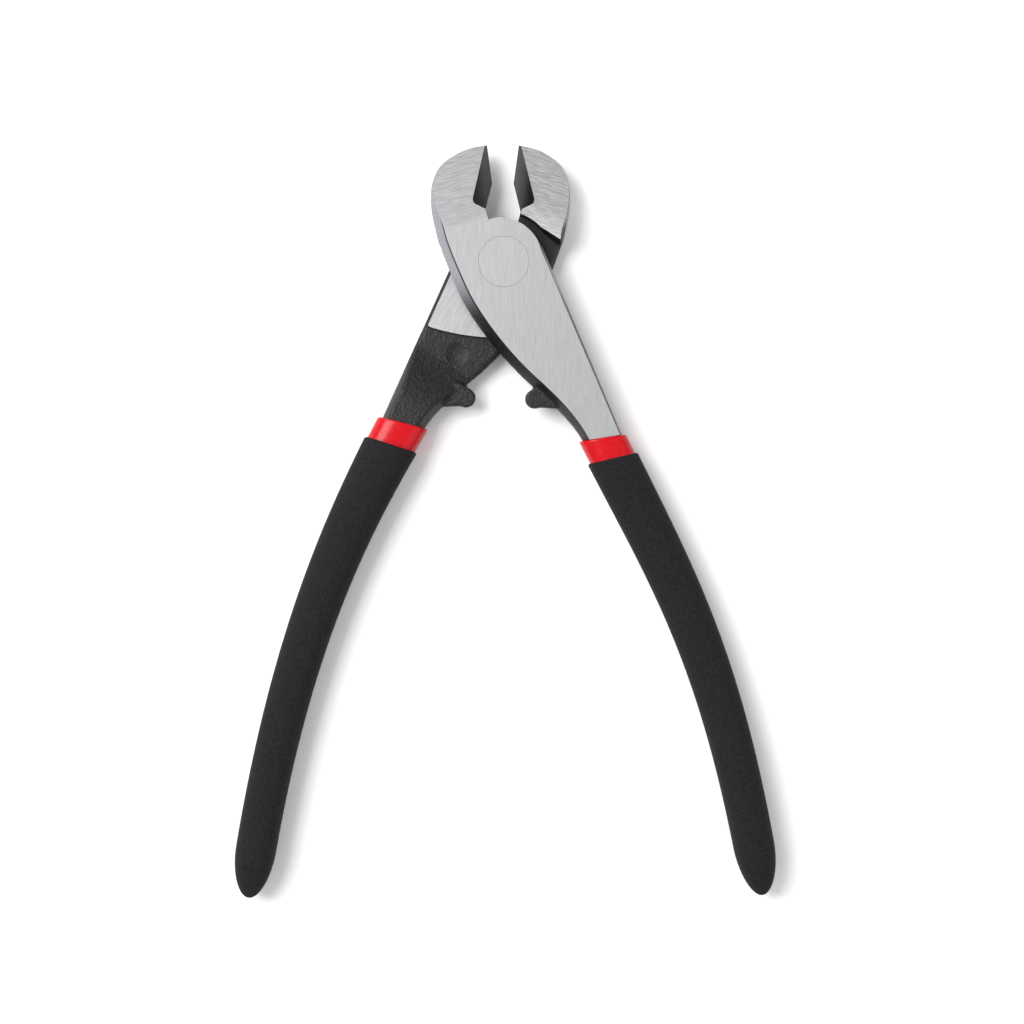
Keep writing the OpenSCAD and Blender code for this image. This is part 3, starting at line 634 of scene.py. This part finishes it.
def dipped_layer():
    """A layer that a dip leaves on a curved tang: it follows the handle's curve between two places on it,
    starts at a slanted dip line with a rounded lip, and closes over the end. Sizes are half widths, in mm."""
    tree = bpy.data.node_groups.new("dipped_layer", "GeometryNodeTree")
    tree.interface.new_socket("Layer", in_out="OUTPUT", socket_type="NodeSocketGeometry")
    for name in ("Start", "Start Pull", "End Pull", "End"):
        tree.interface.new_socket(name, in_out="INPUT", socket_type="NodeSocketVector")
    for name in ("First", "Last", "Span", "Width Start", "Width End", "Taper", "Thickness Start",
                 "Thickness End", "Lift", "Slant", "Lip Length", "Lip Drop", "Cap Length", "Cap Blunt",
                 "Cap Fullness", "Squareness"):
        tree.interface.new_socket(name, in_out="INPUT", socket_type="NodeSocketFloat")
    for name in ("Rings", "Sides"):
        tree.interface.new_socket(name, in_out="INPUT", socket_type="NodeSocketInt")
    tree.interface.new_socket("Finish", in_out="INPUT", socket_type="NodeSocketMaterial")
    nodes, links = tree.nodes, tree.links
    given = nodes.new("NodeGroupInput").outputs

    def put(node, socket, value):
        if isinstance(value, bpy.types.NodeSocket):
            links.new(value, node.inputs[socket])
        else:
            node.inputs[socket].default_value = value

    def calc(operation, *values, clamp=False):
        node = nodes.new("ShaderNodeMath")
        node.operation, node.use_clamp = operation, clamp
        for k, value in enumerate(values):
            put(node, k, value)
        return node.outputs[0]

    def vec(operation, a, b):
        node = nodes.new("ShaderNodeVectorMath")
        node.operation = operation
        put(node, 0, a)
        put(node, "Scale" if operation == "SCALE" else 1, b)
        return node.outputs[0]

    def fade(value, end):
        """1 at nought, falling softly to 0 at end."""
        node = nodes.new("ShaderNodeMapRange")
        node.interpolation_type = "SMOOTHSTEP"
        put(node, "Value", value)
        put(node, "From Max", end)
        put(node, "To Min", 1.0)
        put(node, "To Max", 0.0)
        return node.outputs[0]

    tube = nodes.new("GeometryNodeMeshCylinder")
    tube.fill_type = "NGON"
    put(tube, "Vertices", given["Sides"])
    put(tube, "Side Segments", given["Rings"])
    put(tube, "Radius", 1.0)
    put(tube, "Depth", 1.0)
    here = nodes.new("GeometryNodeInputPosition")
    apart = nodes.new("ShaderNodeSeparateXYZ")
    links.new(here.outputs[0], apart.inputs[0])
    # Rings from 0 to 1 along the layer, drawn together towards its two rounded ends
    run, crowding = calc("ADD", apart.outputs["Z"], 0.5), 0.85
    wave = calc("SINE", calc("MULTIPLY", run, 2 * math.pi))
    run = calc("SUBTRACT", run, calc("MULTIPLY", wave, crowding / (2 * math.pi)))
    reach = calc("SUBTRACT", given["Last"], given["First"])
    t = calc("ADD", given["First"], calc("MULTIPLY", reach, run))
    rest = calc("SUBTRACT", 1.0, t)
    length = calc("MULTIPLY", reach, given["Span"])
    down = calc("MULTIPLY", run, length)

    def blend(points, weights):
        total = None
        for point, weight in zip(points, weights):
            share = vec("SCALE", point, weight)
            total = share if total is None else vec("ADD", total, share)
        return total

    a, b, c, d = (given[n] for n in ("Start", "Start Pull", "End Pull", "End"))
    rest_rest, rest_t, t_t = calc("MULTIPLY", rest, rest), calc("MULTIPLY", rest, t), calc("MULTIPLY", t, t)
    weights = (calc("MULTIPLY", rest_rest, rest), calc("MULTIPLY", calc("MULTIPLY", rest_rest, t), 3.0),
               calc("MULTIPLY", calc("MULTIPLY", rest, t_t), 3.0), calc("MULTIPLY", t_t, t))
    middle = blend((a, b, c, d), weights)
    heading = blend((vec("SUBTRACT", b, a), vec("SUBTRACT", c, b), vec("SUBTRACT", d, c)),
                    (rest_rest, calc("MULTIPLY", rest_t, 2.0), t_t))
    unit = nodes.new("ShaderNodeVectorMath")
    unit.operation = "NORMALIZE"
    links.new(heading, unit.inputs[0])
    side = vec("CROSS_PRODUCT", (0, 0, 1), unit.outputs[0])

    def rounded(value):
        power = calc("DIVIDE", 2.0, given["Squareness"])
        return calc("MULTIPLY", calc("SIGN", value), calc("POWER", calc("ABSOLUTE", value), power))

    lip = calc("SUBTRACT", 1.0, calc("DIVIDE", down, given["Lip Length"]), clamp=True)
    lip = calc("SQRT", calc("SUBTRACT", 1.0, calc("MULTIPLY", lip, lip)))
    lip = calc("SUBTRACT", 1.0, calc("MULTIPLY", given["Lip Drop"], calc("SUBTRACT", 1.0, lip)))
    past = calc("SUBTRACT", down, calc("SUBTRACT", length, given["Cap Length"]))
    over = calc("DIVIDE", past, given["Cap Length"], clamp=True)
    over = calc("MULTIPLY", calc("MULTIPLY", over, over), calc("MULTIPLY", given["Cap Blunt"], 0.985))
    size = calc("MULTIPLY", lip, calc("POWER", calc("SUBTRACT", 1.0, over), given["Cap Fullness"]))
    narrowing = calc("SUBTRACT", given["Width Start"], given["Width End"])
    wide = calc("ADD", given["Width End"], calc("MULTIPLY", narrowing, calc("POWER", rest, given["Taper"])))
    thick = calc("ADD", given["Thickness Start"],
                 calc("MULTIPLY", calc("SUBTRACT", given["Thickness End"], given["Thickness Start"]), t))
    out = calc("MULTIPLY", calc("MULTIPLY", wide, size), rounded(apart.outputs["X"]))
    lift_run, slant_run = 0.22, 16.0  # a share of the handle's curve, and mm
    up = calc("ADD", calc("MULTIPLY", calc("MULTIPLY", thick, size), rounded(apart.outputs["Y"])),
              calc("MULTIPLY", given["Lift"], fade(t, lift_run)))
    slide = calc("MULTIPLY", calc("MULTIPLY", out, given["Slant"]), fade(down, slant_run))
    spot = vec("ADD", vec("ADD", middle, vec("SCALE", side, out)),
               vec("ADD", vec("SCALE", (0, 0, 1), up), vec("SCALE", unit.outputs[0], slide)))
    move = nodes.new("GeometryNodeSetPosition")
    links.new(tube.outputs["Mesh"], move.inputs["Geometry"])
    links.new(spot, move.inputs["Position"])
    real = nodes.new("GeometryNodeRealizeInstances")
    links.new(move.outputs[0], real.inputs[0])
    coat = nodes.new("GeometryNodeSetMaterial")
    links.new(real.outputs[0], coat.inputs["Geometry"])
    links.new(given["Finish"], coat.inputs["Material"])
    links.new(coat.outputs[0], nodes.new("NodeGroupOutput").inputs[0])
    return tree


layer_tree = dipped_layer()


def dip(name, pts, turned_over, body, node, slot, **sizes):
    """Makes one dipped layer, lays it in place, and lets it stand for its CAD node."""
    piece = bpy.data.objects.new(name, bpy.data.meshes.new(name))
    scene.collection.objects.link(piece)
    step = piece.modifiers.new("dip", "NODES")
    step.node_group = layer_tree
    sizes.update(start=(*pts[0], 0), start_pull=(*pts[1], 0), end_pull=(*pts[2], 0), end=(*pts[3], 0),
                 span=float(np.linalg.norm(pts[3] - pts[0])))
    for item in layer_tree.interface.items_tree:
        if item.in_out == "INPUT":
            step[item.identifier] = sizes[item.name.lower().replace(" ", "_")]
    settled(piece)
    placed(piece, turned_over)
    piece.data.polygons.foreach_set("use_smooth", [True] * len(piece.data.polygons))
    piece.data.set_sharp_from_angle(angle=math.radians(40))
    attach(piece, body)
    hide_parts(node)


def slant(heading, dip_angle):
    """How far a dip line runs down the handle for each mm across it."""
    return math.tan(math.radians(heading - dip_angle))


red_pvc = coated("red_pvc", (0.52, 0.0015, 0.007), roughness=0.26, specular=0.25,
                 peel_size=1.5, peel_height=0.02, contrast=0.08)
start_t, end_t = tang_t_start + dip_wall, tang_t_end + dip_wall
for name, pts, over, body, node, width, first, heading, dip_angle in (
        ("front_collar", front_pts, False, "front_half", "front_sleeve", front_width, 0.0, 18.9, 1.4),
        ("rear_collar", rear_pts, True, "rear_half", "rear_sleeve", rear_width, -0.004, 21.9, 7.0)):
    start_w, end_w = width / 2 - tang_inset + dip_wall, tang_w_end + dip_wall
    dip(name, pts, over, body, node, "red_dip", first=first, last=0.909,
        width_start=start_w, width_end=start_w + (end_w - start_w) / tang_end, taper=1.0,
        thickness_start=start_t, thickness_end=start_t + (end_t - start_t) / tang_end, lift=tang_lift,
        slant=slant(heading, dip_angle), lip_length=0.7, lip_drop=0.09, cap_length=4.0, cap_blunt=0.7,
        cap_fullness=0.5, squareness=tang_square, rings=200, sides=64, finish=red_pvc)

# Grips: a second, thicker dip in black PVC foam, matte and finely pitted, with rounded ends.
# It starts below the first dip's edge, so that the red collar shows above it.
foam = coated("pvc_foam", (0.0075, 0.0075, 0.009), roughness=0.8, specular=0.26,
              peel_size=0.7, peel_height=0.6, contrast=0.9)
collar_len = 6.0
for name, pts, over, body, node, top_w, taper, heading, dip_angle in (
        ("front_foam_grip", front_pts, False, "front_half", "front_grip", 13.1, 1.0, 18.2, 4.8),
        ("rear_foam_grip", rear_pts, True, "rear_half", "rear_grip", 14.3, 1.6, 21.0, 10.2)):
    dip(name, pts, over, body, node, "black_foam",
        first=collar_len / 3 / float(np.linalg.norm(pts[1] - pts[0])), last=0.9965,
        width_start=top_w / 2, width_end=5.2, taper=taper, thickness_start=6.3, thickness_end=6.3, lift=0.0,
        slant=slant(heading, dip_angle), lip_length=0.8, lip_drop=0.09, cap_length=9.2, cap_blunt=1.0,
        cap_fullness=0.52, squareness=2.5, rings=240, sides=72, finish=foam)
